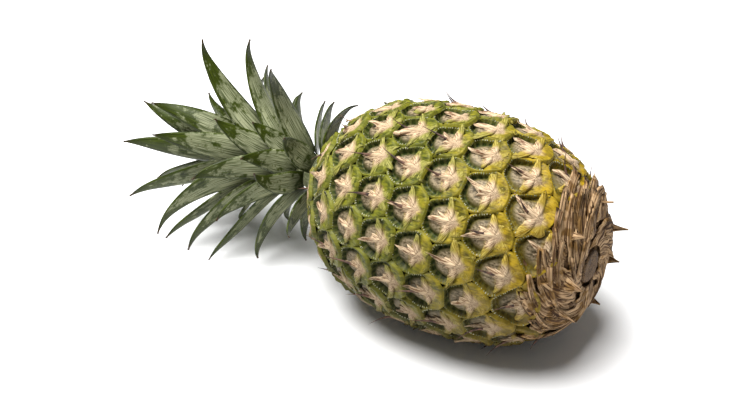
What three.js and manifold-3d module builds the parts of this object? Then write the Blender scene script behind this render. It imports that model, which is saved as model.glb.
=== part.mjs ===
// A pineapple lying on its side: the fruit with its eyes and bracts, the dried bracts round the
// butt, the cut stalk, the stem of the crown and the crown's leaves. Millimetres, +Z up. The
// fruit's axis is level and runs along X, with the butt at +X and the crown at -X. The origin is
// on the surface that the fruit lies on, in the middle of the flat spot that it rests on.

import * as THREE from 'three';
import { ConvexHull } from 'three/addons/math/ConvexHull.js';
import { ConvexGeometry } from 'three/addons/geometries/ConvexGeometry.js';
import { mergeVertices } from 'three/addons/utils/BufferGeometryUtils.js';
import Module from 'manifold-3d';

// ---- driving dimensions -------------------------------------------------------------------

const FRUIT_RADIUS = 59.4; // over the eyes, at the fruit's middle
const BUTT_REACH = 82.8; // half length of the butt half's full superellipse
const BUTT_POWER = 2.4;
const NECK_REACH = 79.2; // the same for the half at the crown
const NECK_POWER = 2.3;
const BUTT_FACE_X = 76.5; // the cut butt face, from the fruit's middle
const NECK_FACE_X = -77; // where the crown joins
const REST_DEPTH = 2.8; // how far the lowest eyes are pressed flat
const CLEARANCE = 0.35; // between pieces that touch

const EYE_AREA = 428; // skin to each eye at the fruit's middle
const EYE_GROWTH = 0.12; // eyes are this much larger at the butt and smaller at the neck
const EYE_DIVERGENCE = -100; // degrees from one eye to the next, going towards the crown
const FIRST_EYE_X = 4.7;
const FIRST_EYE_ANGLE = 74.6;
const HUSK_RADIUS = 37; // the eyes end here, at the butt
const NECK_RADIUS = 17; // and here, at the crown
const GROOVE_DEPTH = 4.2;
const RIM_SHARE = 0.8; // the rim of an eye, as a share of the way out to the groove
const RIM_ROUNDNESS = 0.75; // 0 keeps the cell's corners in the rim, 1 makes it a circle
const RIM_DEPTH = 1.7;
const DISC_DEPTH = 1; // at the middle of an eye's slightly domed disc
const BRACT_HALF_WIDTH = 0.5; // as a share of the eye's half width
const BRACT_TIP_REACH = 0.42;
const BRACT_TIP_HEIGHT = 0.6;
const BRACT_KEEL_HEIGHT = 0.5;
const BRACT_YAW = 9; // degrees, at random either way

const HUSK_THICKNESS = 2.6;
const HUSK_BORE = 9.2;
const HUSK_SWIRL = 26; // degrees that a scale sweeps round the axis from root to tip
const BUTT_HULL_X = 45;
const HUSK_RINGS = [
  // [scales, radius of the roots, length, half width, rise of the tip]
  [12, 29, 11, 5.8, 0.8],
  [8, 21, 12, 5.4, 1.4],
  [5, 13, 11, 4.6, 1.9],
];
const HUSK_SPIKES = [
  // [angle round the axis, radius, length, half width]: dry bracts that stand off the butt
  [10, 27, 13, 3.6],
  [-26, 30, 12, 3.2],
  [58, 31, 9, 2.8],
];
const STUB_RADIUS = 8.6;
const STUB_LENGTH = 4;

const LEAF_COUNT = 50;
const LEAF_DIVERGENCE = -137.508;
const FIRST_LEAF_ANGLE = 243.7;
const LEAF_THICKNESS = 0.8;
const CROWN_STEM_LENGTH = 53.5;
const CROWN_STEM_RADIUS = 11.8; // at the fruit
const CROWN_TIP_RADIUS = 3.2;
const LEAF_ROOT_GAP = 0.9; // from the stem to the middle of a blade's root
const FLOOR_BEND_HEIGHT = 17; // leaves that come this near the surface bend along it
const FLOOR_GAP = 1.1; // and their middles stay this far above it
// From the lowest leaf to the heart: where along the stem (0 to 1), blade length, the blade's
// angle to the axis at its root and near its tip.
const LEAF_STAGES = [
  [0, 29.9, 80.6, 136],
  [0.08, 33.1, 67.2, 107],
  [0.16, 49.5, 59.6, 91],
  [0.28, 51.3, 49.4, 77],
  [0.42, 58, 43, 69.5],
  [0.6, 71.6, 42, 64.3],
  [0.8, 81.4, 19.5, 36],
  [0.92, 70.8, 19, 27],
  [1, 42, 9, 15],
];
// Leaves that lean: [sideways sweep of the tip in degrees, length as a share of the rule's].
const LEANING_LEAVES = {
  0: [0, 0.6],
  1: [18, 1.05],
  2: [4, 1.02],
  3: [0, 0.62],
  4: [-2, 1.02],
  5: [0, 0.93],
  6: [0, 0.77],
  7: [20, 0.75],
  8: [0, 0.6],
  9: [-8, 1.2],
  10: [-10, 1.05],
  11: [-14, 0.82],
  12: [-6, 0.7],
  13: [0, 0.93],
  14: [16, 0.72],
  15: [-2, 0.93],
  16: [0, 0.93],
  17: [-4, 0.57],
  18: [22, 1.25],
  19: [8, 0.85],
  20: [-6, 0.95],
  21: [0, 0.93],
  22: [4, 1.12],
  23: [-4, 1.15],
  24: [0, 0.93],
  25: [4, 0.68],
  26: [0, 0.93],
  27: [0, 0.8],
  28: [-20, 1.1],
  29: [0, 0.93],
  30: [6, 1.05],
  31: [14, 1.05],
  32: [0, 0.93],
  33: [0, 0.9],
  34: [0, 0.93],
  35: [-8, 0.93],
  36: [4, 1.05],
  37: [0, 0.93],
  38: [-12, 0.88],
  39: [-4, 0.88],
  40: [0, 0.93],
  41: [4, 1.02],
  42: [0, 0.93],
  43: [16, 0.65],
  44: [0, 0.93],
  45: [0, 0.9],
  46: [10, 1.12],
  47: [0, 0.93],
  48: [8, 0.77],
  49: [0, 0.8],
};

const AXIS_HEIGHT = FRUIT_RADIUS - REST_DEPTH;
const RADIANS = Math.PI / 180;

const wasm = await Module();
wasm.setup();

// ---- helpers ------------------------------------------------------------------------------

// The same number from 0 to 1 for the same seed.
function chance(seed) {
  const wave = Math.sin(seed * 12.9898 + 4.1414) * 43758.5453;
  return wave - Math.floor(wave);
}

function clamp(value, low, high) {
  return Math.min(high, Math.max(low, value));
}

function smoothstep(value, low, high) {
  const share = clamp((value - low) / (high - low), 0, 1);
  return share * share * (3 - 2 * share);
}

// Reads a column of a table of stages, whose first column is the station.
function alongStages(stages, station, column) {
  let k = 1;
  while (k < stages.length - 1 && stages[k][0] < station) k += 1;
  const share = (station - stages[k - 1][0]) / (stages[k][0] - stages[k - 1][0]);
  return THREE.MathUtils.lerp(stages[k - 1][column], stages[k][column], clamp(share, 0, 1));
}

function solidOf(geometry) {
  const bare = new THREE.BufferGeometry();
  bare.setAttribute('position', geometry.getAttribute('position'));
  if (geometry.index) bare.setIndex(geometry.index);
  const merged = mergeVertices(bare, 1e-4);
  return new wasm.Manifold(
    new wasm.Mesh({
      numProp: 3,
      vertProperties: new Float32Array(merged.getAttribute('position').array),
      triVerts: new Uint32Array(merged.index.array),
    }),
  );
}

function geometryOf(solid) {
  const mesh = solid.getMesh();
  const geometry = new THREE.BufferGeometry();
  geometry.setAttribute('position', new THREE.BufferAttribute(mesh.vertProperties, 3));
  geometry.setIndex(new THREE.BufferAttribute(mesh.triVerts, 1));
  geometry.computeVertexNormals();
  return geometry;
}

function meshOf(points, triangles) {
  const geometry = new THREE.BufferGeometry();
  const flat = points.flatMap((p) => [p.x, p.y, p.z]);
  geometry.setAttribute('position', new THREE.Float32BufferAttribute(flat, 3));
  geometry.setIndex(triangles.flat());
  return geometry;
}

function boxBetween(low, high) {
  const size = new THREE.Vector3().subVectors(high, low);
  const middle = new THREE.Vector3().addVectors(low, high).multiplyScalar(0.5);
  return new THREE.BoxGeometry(size.x, size.y, size.z).translate(middle.x, middle.y, middle.z);
}

// ---- the fruit's skin, about the fruit's middle -------------------------------------------

function skinHalf(x) {
  return x > 0 ? [BUTT_REACH, BUTT_POWER] : [NECK_REACH, NECK_POWER];
}

function skinRadius(x) {
  const [reach, power] = skinHalf(x);
  return FRUIT_RADIUS * (1 - (Math.abs(x) / reach) ** power) ** (1 / power);
}

// Angle 0 faces -Y and 90 faces up.
function aroundAxis(x, radius, degrees) {
  const angle = degrees * RADIANS;
  return new THREE.Vector3(x, -radius * Math.cos(angle), radius * Math.sin(angle));
}

// Scales a point about the fruit's middle until it is on the skin.
function ontoSkin(point) {
  const [reach, power] = skinHalf(point.x);
  const radius = Math.hypot(point.y, point.z);
  const size = (Math.abs(point.x) / reach) ** power + (radius / FRUIT_RADIUS) ** power;
  return point.clone().multiplyScalar(size ** (-1 / power));
}

function skinNormal(point) {
  const [reach, power] = skinHalf(point.x);
  const radius = Math.hypot(point.y, point.z);
  const along = (Math.abs(point.x) / reach) ** (power - 1) / reach;
  const out = (radius / FRUIT_RADIUS) ** (power - 1) / FRUIT_RADIUS / Math.max(radius, 1e-6);
  return new THREE.Vector3(Math.sign(point.x) * along, point.y * out, point.z * out).normalize();
}

function lifted(point, height) {
  const foot = ontoSkin(point);
  return foot.addScaledVector(skinNormal(foot), height);
}

// ---- the eyes -----------------------------------------------------------------------------

// Eyes follow one spiral from butt to neck, each with its own share of the skin.
function eyeCentres() {
  const step = 0.05;
  const centres = [];
  for (const side of [1, -1]) {
    let x = FIRST_EYE_X;
    let area = 0;
    let count = side > 0 ? 0 : 1;
    while (skinRadius(x) > (side > 0 ? HUSK_RADIUS : NECK_RADIUS)) {
      const share = EYE_AREA * (1 + (EYE_GROWTH * x) / BUTT_REACH);
      if (area >= count) {
        const angle = FIRST_EYE_ANGLE - side * count * EYE_DIVERGENCE;
        centres.push({ x, angle, turn: -side * count });
        count += 1;
      }
      const slope = (skinRadius(x + side * step) - skinRadius(x)) / step;
      area += (2 * Math.PI * skinRadius(x) * Math.hypot(1, slope) * step) / share;
      x += side * step;
    }
  }
  return centres;
}

// Plain cells fill both ends, where the husk and the crown sit.
function endCentres() {
  const centres = [];
  for (const [x, radius, count] of [
    [1, 30, 9],
    [1, 15, 6],
    [-1, 9, 5],
  ]) {
    for (let k = 0; k < count; k += 1) {
      const [reach, power] = skinHalf(x);
      const along = x * reach * (1 - (radius / FRUIT_RADIUS) ** power) ** (1 / power);
      centres.push(aroundAxis(along, radius, (360 * k) / count + 11));
    }
  }
  centres.push(new THREE.Vector3(BUTT_REACH, 0, 0));
  centres.push(new THREE.Vector3(-NECK_REACH, 0, 0));
  return centres;
}

// Splits the skin into one cell a centre. The grooves run half way between neighbours.
function skinCells(centres) {
  const hull = new ConvexHull().setFromPoints(centres);
  const number = new Map(centres.map((point, k) => [point, k]));
  const corners = [];
  const cells = centres.map(() => []);
  for (const face of hull.faces) {
    let edge = face.edge;
    const sides = [];
    do {
      sides.push([number.get(edge.tail().point), number.get(edge.head().point)]);
      edge = edge.next;
    } while (edge !== face.edge);
    const middle = new THREE.Vector3();
    for (const [tail] of sides) middle.addScaledVector(centres[tail], 1 / sides.length);
    const corner = corners.push(ontoSkin(middle)) - 1;
    for (const [tail, head] of sides) cells[tail].push({ neighbour: head, corner });
  }
  return { corners, cells };
}

// The ring of groove points round a centre, in order: a corner, then the middle of a side.
function grooveRing(centre, cell, corners) {
  const normal = skinNormal(ontoSkin(centre));
  const east = new THREE.Vector3(1, 0, 0.001).cross(normal).normalize();
  const north = new THREE.Vector3().crossVectors(normal, east);
  const bearing = (point) => {
    const way = new THREE.Vector3().subVectors(point, centre);
    return Math.atan2(way.dot(north), way.dot(east));
  };
  const ring = cell
    .map(({ corner }) => ({ corner, bearing: bearing(corners[corner]) }))
    .sort((one, other) => one.bearing - other.bearing);
  return ring.map(({ corner }) => corner);
}

function buildSkin(centres, isEye) {
  const { corners, cells } = skinCells(centres);
  const points = corners.map((corner) => lifted(corner, -GROOVE_DEPTH));
  const sideMiddles = new Map();
  const triangles = [];
  const sideMiddle = (one, other) => {
    const key = one < other ? `${one}-${other}` : `${other}-${one}`;
    if (!sideMiddles.has(key)) {
      const middle = new THREE.Vector3().addVectors(corners[one], corners[other]);
      const foot = ontoSkin(middle.multiplyScalar(0.5));
      sideMiddles.set(key, points.push(lifted(foot, -GROOVE_DEPTH)) - 1);
    }
    return sideMiddles.get(key);
  };
  centres.forEach((centre, k) => {
    const ring = [];
    const around = grooveRing(centre, cells[k], corners);
    around.forEach((corner, j) => {
      ring.push(corner);
      ring.push(sideMiddle(corner, around[(j + 1) % around.length]));
    });
    const middle = points.push(lifted(centre, isEye(k) ? -DISC_DEPTH : -GROOVE_DEPTH)) - 1;
    if (!isEye(k)) {
      ring.forEach((from, j) => triangles.push([middle, from, ring[(j + 1) % ring.length]]));
      return;
    }
    const reaches = ring.map((outer) => centre.distanceTo(points[outer]));
    const evenReach = reaches.reduce((sum, reach) => sum + reach, 0) / ring.length;
    const rim = ring.map((outer, j) => {
      const round = THREE.MathUtils.lerp(1, Math.min(evenReach / reaches[j], 1.06), RIM_ROUNDNESS);
      const place = centre.clone().lerp(points[outer], RIM_SHARE * round);
      return points.push(lifted(place, -RIM_DEPTH)) - 1;
    });
    ring.forEach((from, j) => {
      const next = (j + 1) % ring.length;
      triangles.push([rim[j], from, ring[next]]);
      triangles.push([rim[j], ring[next], rim[next]]);
      triangles.push([middle, rim[j], rim[next]]);
    });
  });
  return meshOf(points, triangles);
}

// A fleshy bract: a keeled wedge from the butt side of its eye, with its tip over the disc.
function buildBract(centre, seed, reach) {
  const foot = ontoSkin(centre);
  const normal = skinNormal(foot);
  const toCrown = new THREE.Vector3(-1, 0, 0).addScaledVector(normal, normal.x).normalize();
  toCrown.applyAxisAngle(normal, (chance(seed) - 0.5) * 2 * BRACT_YAW * RADIANS);
  const across = new THREE.Vector3().crossVectors(normal, toCrown);
  const place = (forward, side, height) =>
    lifted(
      foot
        .clone()
        .addScaledVector(toCrown, forward * reach)
        .addScaledVector(across, side * reach),
      height,
    );
  return new ConvexGeometry([
    place(BRACT_TIP_REACH + 0.12 * chance(seed + 0.5), 0, BRACT_TIP_HEIGHT),
    place(-0.2, 0, BRACT_KEEL_HEIGHT),
    place(-0.55, BRACT_HALF_WIDTH, -RIM_DEPTH),
    place(-0.55, -BRACT_HALF_WIDTH, -RIM_DEPTH),
    place(-0.88, 0, -GROOVE_DEPTH + 1),
    place(-0.3, 0, -GROOVE_DEPTH - 1),
  ]);
}

function buildFruit(eyes) {
  const eyePoints = eyes.map(({ x, angle }) => aroundAxis(x, skinRadius(x), angle));
  const centres = [...eyePoints, ...endCentres()];
  const skin = solidOf(buildSkin(centres, (k) => k < eyes.length));
  const bracts = eyePoints.map((centre, k) => {
    const reach = 0.5 * Math.sqrt(EYE_AREA * (1 + (EYE_GROWTH * eyes[k].x) / BUTT_REACH));
    return solidOf(buildBract(centre, eyes[k].turn, reach));
  });
  return trimEnds(wasm.Manifold.union([skin, ...bracts]));
}

// Cuts the butt and the neck flat, and presses the lowest eyes flat.
function trimEnds(solid) {
  const far = 200;
  const beyondButt = boxBetween(
    new THREE.Vector3(BUTT_FACE_X, -far, -far),
    new THREE.Vector3(far, far, far),
  );
  const beyondNeck = boxBetween(
    new THREE.Vector3(-far, -far, -far),
    new THREE.Vector3(NECK_FACE_X, far, far),
  );
  const belowFloor = boxBetween(
    new THREE.Vector3(-far, -far, -far),
    new THREE.Vector3(far, far, -AXIS_HEIGHT),
  );
  return solid
    .subtract(solidOf(beyondButt))
    .subtract(solidOf(beyondNeck))
    .subtract(solidOf(belowFloor));
}

// ---- the butt -----------------------------------------------------------------------------

// How far out along the axis the recessed skin under the husk lies, at a radius.
function buttSkinX(radius) {
  const x = BUTT_REACH * (1 - (radius / FRUIT_RADIUS) ** BUTT_POWER) ** (1 / BUTT_POWER);
  const sunk = lifted(aroundAxis(x, radius, 0), -GROOVE_DEPTH);
  return Math.min(sunk.x, BUTT_FACE_X);
}

// A lathe about the fruit's axis, from points of [radius, x].
function turned(profile, segments) {
  const outline = profile.map(([radius, x]) => new THREE.Vector2(radius, x));
  return new THREE.LatheGeometry(outline, segments).rotateZ(-Math.PI / 2);
}

function dryScale(angle, radius, length, halfWidth, rise) {
  const seed = angle + radius;
  const place = (out, side, height) => {
    const x = buttSkinX(radius + out) + CLEARANCE + height;
    const turn = (side / (radius + out)) / RADIANS + (HUSK_SWIRL * out) / length;
    return aroundAxis(x, radius + out, angle + turn);
  };
  const reach = length * (0.85 + 0.3 * chance(seed));
  return new ConvexGeometry([
    place(-2, halfWidth * 0.8, HUSK_THICKNESS * 0.6),
    place(-2, -halfWidth * 0.8, HUSK_THICKNESS * 0.6),
    place(reach * 0.4, halfWidth, HUSK_THICKNESS * 0.7),
    place(reach * 0.4, -halfWidth, HUSK_THICKNESS * 0.7),
    place(reach * 0.3, 0, HUSK_THICKNESS + 1 + rise * 0.5),
    place(reach, 0, HUSK_THICKNESS + rise),
  ]);
}

function drySpike(angle, radius, length, halfWidth) {
  const place = (out, side, height) => {
    const x = buttSkinX(radius) + CLEARANCE + height;
    return aroundAxis(x, radius + out, angle + (side / radius) / RADIANS);
  };
  return new ConvexGeometry([
    place(-1.6, halfWidth, 0.7),
    place(-1.6, -halfWidth, 0.7),
    place(1.8, halfWidth, 0.7),
    place(1.8, -halfWidth, 0.7),
    place(0.6, halfWidth * 0.7, length * 0.5),
    place(1.8, -halfWidth * 0.7, length * 0.5),
    place(3.4, 0.35, length),
    place(2.6, -0.35, length),
  ]);
}

// The tight skin over the butt's eyes, grown about the fruit's middle by the clearance.
function buttHull(fruit) {
  const grown = 1 + CLEARANCE / HUSK_RADIUS;
  const places = geometryOf(fruit).getAttribute('position');
  const points = [];
  for (let k = 0; k < places.count; k += 1) {
    const point = new THREE.Vector3().fromBufferAttribute(places, k);
    if (point.x < BUTT_HULL_X) continue;
    points.push(new THREE.Vector3(point.x + CLEARANCE, point.y * grown, point.z * grown));
  }
  return new ConvexGeometry(points);
}

// The husk lies on the eyes round it.
function buildHusk(fruit) {
  const radii = [HUSK_BORE, 22, 29, 34];
  const under = radii.map((radius) => [radius, buttSkinX(radius) + CLEARANCE]);
  const over = radii.map((radius) => [radius, buttSkinX(radius) + CLEARANCE + HUSK_THICKNESS]);
  const pieces = [solidOf(turned([...under, ...over.reverse(), under[0]], 24))];
  HUSK_RINGS.forEach(([count, radius, length, halfWidth, rise], ring) => {
    for (let k = 0; k < count; k += 1) {
      const angle = (360 * (k + 0.5 * (ring % 2) + 0.4 * chance(k + 20 * ring))) / count;
      pieces.push(solidOf(dryScale(angle, radius, length, halfWidth, rise)));
    }
  });
  for (const [angle, radius, length, halfWidth] of HUSK_SPIKES) {
    pieces.push(solidOf(drySpike(angle, radius, length, halfWidth)));
  }
  const cut = wasm.Manifold.union(pieces).subtract(solidOf(buttHull(fruit)));
  return cut.decompose().sort((one, other) => other.volume() - one.volume())[0];
}

function buildStub() {
  const start = BUTT_FACE_X + CLEARANCE;
  const profile = [
    [0, start],
    [STUB_RADIUS, start],
    [STUB_RADIUS, start + STUB_LENGTH - 1],
    [STUB_RADIUS - 1.4, start + STUB_LENGTH],
    [0, start + STUB_LENGTH - 0.6],
  ];
  return turned(profile, 20);
}

// ---- the crown ----------------------------------------------------------------------------

function stemRadius(share) {
  return THREE.MathUtils.lerp(CROWN_STEM_RADIUS, CROWN_TIP_RADIUS, share);
}

function buildCrownStem() {
  const start = NECK_FACE_X - CLEARANCE;
  const profile = [
    [0, start],
    [stemRadius(0), start],
    [stemRadius(0.5), start - CROWN_STEM_LENGTH * 0.5],
    [stemRadius(1), start - CROWN_STEM_LENGTH],
    [1.6, start - CROWN_STEM_LENGTH - 9],
    [0, start - CROWN_STEM_LENGTH - 12],
  ];
  return turned(profile.reverse(), 16);
}

function leafPlan(k) {
  const station = k / (LEAF_COUNT - 1);
  const usual = [10 * (chance(k + 90) - 0.5), 0.95 + 0.1 * chance(k)];
  const [sweep, size] = LEANING_LEAVES[k] ?? usual;
  const length = alongStages(LEAF_STAGES, station, 1) * size;
  return {
    station,
    length,
    sweep,
    angle: FIRST_LEAF_ANGLE + LEAF_DIVERGENCE * k,
    halfWidth: 5.4 + 0.052 * length,
  };
}

// The blade's midline as [x, radius] at even steps of arc length. Every blade lies on one of a
// family of nested bells of revolution, so no two leaves cross.
function leafMidline(plan, steps) {
  const { station, length } = plan;
  const rootAngle = alongStages(LEAF_STAGES, station, 2) * RADIANS;
  const tipAngle = alongStages(LEAF_STAGES, station, 3) * RADIANS;
  const fullLength = alongStages(LEAF_STAGES, station, 1);
  let x = NECK_FACE_X - 1.4 - (CROWN_STEM_LENGTH - 4) * station ** 0.8;
  let radius = stemRadius((NECK_FACE_X - x) / CROWN_STEM_LENGTH) + LEAF_THICKNESS / 2 + LEAF_ROOT_GAP;
  const line = [[x, radius]];
  const fine = 6;
  for (let j = 0; j < steps * fine; j += 1) {
    const run = (length * (j + 0.5)) / (steps * fine);
    const bend = (run / fullLength) ** 1.58;
    const hook = 28 * RADIANS * smoothstep(run / length, 0.8, 1.05);
    const angle = THREE.MathUtils.lerp(rootAngle, tipAngle, bend) + hook;
    x -= (Math.cos(angle) * length) / (steps * fine);
    radius += (Math.sin(angle) * length) / (steps * fine);
    if ((j + 1) % fine === 0) line.push([x, radius]);
  }
  return line;
}

function leafHalfWidth(plan, share) {
  const widest = 0.3;
  const rootShare = 0.74;
  const swell = Math.sin((90 * RADIANS * share) / widest);
  if (share < widest) return plan.halfWidth * THREE.MathUtils.lerp(rootShare, 1, swell);
  const taper = 1 - ((share - widest) / (1 - widest)) ** 1.6;
  return Math.max(plan.halfWidth * taper, 0.4);
}

// Leaves bend along the surface that the fruit lies on.
function aboveFloor(point) {
  const height = point.z + AXIS_HEIGHT;
  if (height >= FLOOR_BEND_HEIGHT) return point;
  const room = FLOOR_BEND_HEIGHT - FLOOR_GAP;
  const sunk = room * Math.tanh((FLOOR_BEND_HEIGHT - height) / room);
  point.z = FLOOR_BEND_HEIGHT - sunk - AXIS_HEIGHT;
  return point;
}

// A point of the blade's middle surface: share 0 at the root and 1 at the tip, side -1 to 1.
function leafPoint(plan, line, row, side) {
  const share = row / (line.length - 1);
  const [x, radius] = line[row];
  const half = Math.min(leafHalfWidth(plan, share), radius * 0.7);
  const channel = 0.18 * half * side * side * smoothstep(share * plan.length, 6, 26);
  const turn = (side * half) / radius / RADIANS + plan.sweep * share * share;
  return aboveFloor(aroundAxis(x, radius - channel, plan.angle + turn));
}

function buildLeaf(k) {
  const plan = leafPlan(k);
  const rows = plan.length > 40 ? 8 : 6;
  const strips = 2;
  const line = leafMidline(plan, rows);
  const middle = [];
  for (let row = 0; row <= rows; row += 1) {
    for (let strip = 0; strip <= strips; strip += 1) {
      middle.push(leafPoint(plan, line, row, (2 * strip) / strips - 1));
    }
  }
  const at = (row, strip) => row * (strips + 1) + strip;
  const normals = middle.map((_, n) => {
    const row = Math.floor(n / (strips + 1));
    const strip = n % (strips + 1);
    const along = new THREE.Vector3().subVectors(
      middle[at(Math.min(row + 1, rows), strip)],
      middle[at(Math.max(row - 1, 0), strip)],
    );
    const across = new THREE.Vector3().subVectors(
      middle[at(row, Math.min(strip + 1, strips))],
      middle[at(row, Math.max(strip - 1, 0))],
    );
    return across.cross(along).normalize();
  });
  const face = (sign) =>
    middle.map((point, n) => point.clone().addScaledVector(normals[n], (sign * LEAF_THICKNESS) / 2));
  const points = [...face(1), ...face(-1)];
  const back = middle.length;
  const triangles = [];
  const quad = (a, b, c, d) => triangles.push([a, b, c], [a, c, d]);
  for (let row = 0; row < rows; row += 1) {
    for (let strip = 0; strip < strips; strip += 1) {
      const corners = [at(row, strip), at(row, strip + 1), at(row + 1, strip + 1), at(row + 1, strip)];
      quad(...corners);
      const [a, b, c, d] = corners.map((n) => n + back);
      triangles.push([a, c, b], [a, d, c]);
    }
    quad(at(row + 1, 0), at(row + 1, 0) + back, at(row, 0) + back, at(row, 0));
    quad(at(row, strips), at(row, strips) + back, at(row + 1, strips) + back, at(row + 1, strips));
  }
  for (let strip = 0; strip < strips; strip += 1) {
    quad(at(0, strip), at(0, strip) + back, at(0, strip + 1) + back, at(0, strip + 1));
    quad(at(rows, strip + 1), at(rows, strip + 1) + back, at(rows, strip) + back, at(rows, strip));
  }
  return meshOf(points, triangles);
}

// ---- the pineapple ------------------------------------------------------------------------

const rind = new THREE.MeshStandardMaterial({ color: 0x8a8238, roughness: 0.6, metalness: 0 });
const dryBract = new THREE.MeshStandardMaterial({ color: 0x9a7c58, roughness: 0.9, metalness: 0 });
const cutStalk = new THREE.MeshStandardMaterial({ color: 0xb49a6c, roughness: 0.85, metalness: 0 });
const youngStem = new THREE.MeshStandardMaterial({ color: 0x8f9a6a, roughness: 0.7, metalness: 0 });
const leafGreen = new THREE.MeshStandardMaterial({ color: 0x5d6b48, roughness: 0.55, metalness: 0 });

const pineapple = new THREE.Group();
const eyes = eyeCentres();
const restEye = eyes.reduce((lowest, eye) => {
  const depth = skinRadius(eye.x) * Math.sin(eye.angle * RADIANS);
  return depth < lowest.depth ? { depth, x: eye.x } : lowest;
}, { depth: 0, x: 0 });
pineapple.position.set(-restEye.x, 0, AXIS_HEIGHT);

function addPiece(name, geometry, material) {
  const mesh = new THREE.Mesh(geometry, material);
  mesh.name = name;
  pineapple.add(mesh);
}

const fruit = buildFruit(eyes);
addPiece('fruit', geometryOf(fruit), rind);
addPiece('base_husk', geometryOf(buildHusk(fruit)), dryBract);
addPiece('stem_stub', buildStub(), cutStalk);
addPiece('crown_stem', buildCrownStem(), youngStem);
for (let k = 0; k < LEAF_COUNT; k += 1) {
  addPiece(`leaf_${String(k + 1).padStart(2, '0')}`, buildLeaf(k), leafGreen);
}

export default pineapple;
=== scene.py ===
"""A pineapple lying on its side: rind, papery bracts, dry butt husk, cut stalk and leafy crown."""

import math

import bmesh
import bpy
from mathutils import Matrix, Vector, noise


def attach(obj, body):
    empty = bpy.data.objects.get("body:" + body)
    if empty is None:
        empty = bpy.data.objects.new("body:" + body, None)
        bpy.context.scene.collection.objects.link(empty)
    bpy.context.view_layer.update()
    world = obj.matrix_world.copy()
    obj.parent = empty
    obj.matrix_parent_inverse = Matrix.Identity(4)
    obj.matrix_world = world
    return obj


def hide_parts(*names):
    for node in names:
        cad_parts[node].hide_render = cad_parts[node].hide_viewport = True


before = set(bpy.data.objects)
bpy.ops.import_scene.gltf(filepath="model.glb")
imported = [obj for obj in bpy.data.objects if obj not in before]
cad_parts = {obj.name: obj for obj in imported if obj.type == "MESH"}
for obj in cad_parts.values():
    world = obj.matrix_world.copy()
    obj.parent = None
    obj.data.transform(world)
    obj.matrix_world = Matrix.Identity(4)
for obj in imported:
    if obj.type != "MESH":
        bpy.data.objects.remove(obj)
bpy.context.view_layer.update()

# ---- sizes, in millimetres and degrees about the fruit's middle ----
# They are the CAD part's own, apart from the husk's scales and spikes: more, and broader.

FRUIT_RADIUS = 59.4
BUTT_REACH = 82.8
BUTT_POWER = 2.4
NECK_REACH = 79.2
NECK_POWER = 2.3
BUTT_FACE_X = 76.5
NECK_FACE_X = -77.0
REST_DEPTH = 2.8
AXIS_HEIGHT = FRUIT_RADIUS - REST_DEPTH

EYE_AREA = 428.0
EYE_GROWTH = 0.12
EYE_DIVERGENCE = -100.0
FIRST_EYE_X = 4.7
FIRST_EYE_ANGLE = 74.6
HUSK_RADIUS = 37.0
NECK_RADIUS = 17.0
BRACT_YAW = 9.0
PLAIN_TURN = 11.0  # where each ring of plain cells starts round the axis

CLEARANCE = 0.35
HUSK_THICKNESS = 2.6
HUSK_BORE = 9.2
# Rings of dry scales: count, root radius, length, half width and height over the butt.
HUSK_FLAKES = [
    (12, 34, 9, 9.0, 0.7),
    (15, 31, 9, 7.5, 1.0),
    (13, 26, 11, 7.5, 1.3),
    (11, 20, 12, 6.5, 1.5),
    (9, 13, 11, 5.5, 1.3),
]
# Dry bracts that stand out: angle round the butt, radius, length and half width.
HUSK_SPIKES = [
    (10, 27, 13, 5.4),
    (-26, 30, 12, 4.6),
    (58, 31, 9, 3.8),
    (122, 32, 8, 3.6),
    (166, 29, 11, 4.0),
    (204, 30, 9, 3.8),
    (248, 31, 8, 3.4),
]
STUB_RADIUS = 8.6
STUB_LENGTH = 4.0

LEAF_COUNT = 50
LEAF_DIVERGENCE = -137.508
FIRST_LEAF_ANGLE = 243.7
LEAF_THICKNESS = 0.8
CROWN_STEM_LENGTH = 53.5
CROWN_STEM_RADIUS = 11.8
CROWN_TIP_RADIUS = 3.2
LEAF_ROOT_GAP = 0.9
FLOOR_BEND_HEIGHT = 17.0
FLOOR_GAP = 1.1
LEAF_SPACING_POWER = 0.8  # leaves stand closer together towards the stem's tip
LEAF_BEND_POWER = 1.58
LEAF_HOOK = 28.0  # the extra bend of a blade's end
LEAF_CHANNEL = 0.18  # how deep a blade is hollowed, as a share of its half width
# A blade's half width: the least, its growth with length, the share at the root, how far along
# it is widest, and how it narrows from there.
LEAF_WIDTH_START = 5.4
LEAF_WIDTH_GROWTH = 0.052
LEAF_ROOT_WIDTH = 0.74
LEAF_WIDEST_AT = 0.3
LEAF_TAPER_POWER = 1.6
LEAF_TIP_HALF_WIDTH = 0.4
# A fitting program made the next two tables, which were then rounded. Only the stations, the
# last stage and leaves 0, 3, 8 and 49 were set one by one.
# Station along the crown stem, leaf length, root angle and tip angle.
LEAF_STAGES = [
    (0, 29.9, 80.6, 136),
    (0.08, 33.1, 67.2, 107),
    (0.16, 49.5, 59.6, 91),
    (0.28, 51.3, 49.4, 77),
    (0.42, 58, 43, 69.5),
    (0.6, 71.6, 42, 64.3),
    (0.8, 81.4, 19.5, 36),
    (0.92, 70.8, 19, 27),
    (1, 42, 9, 15),
]
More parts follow.
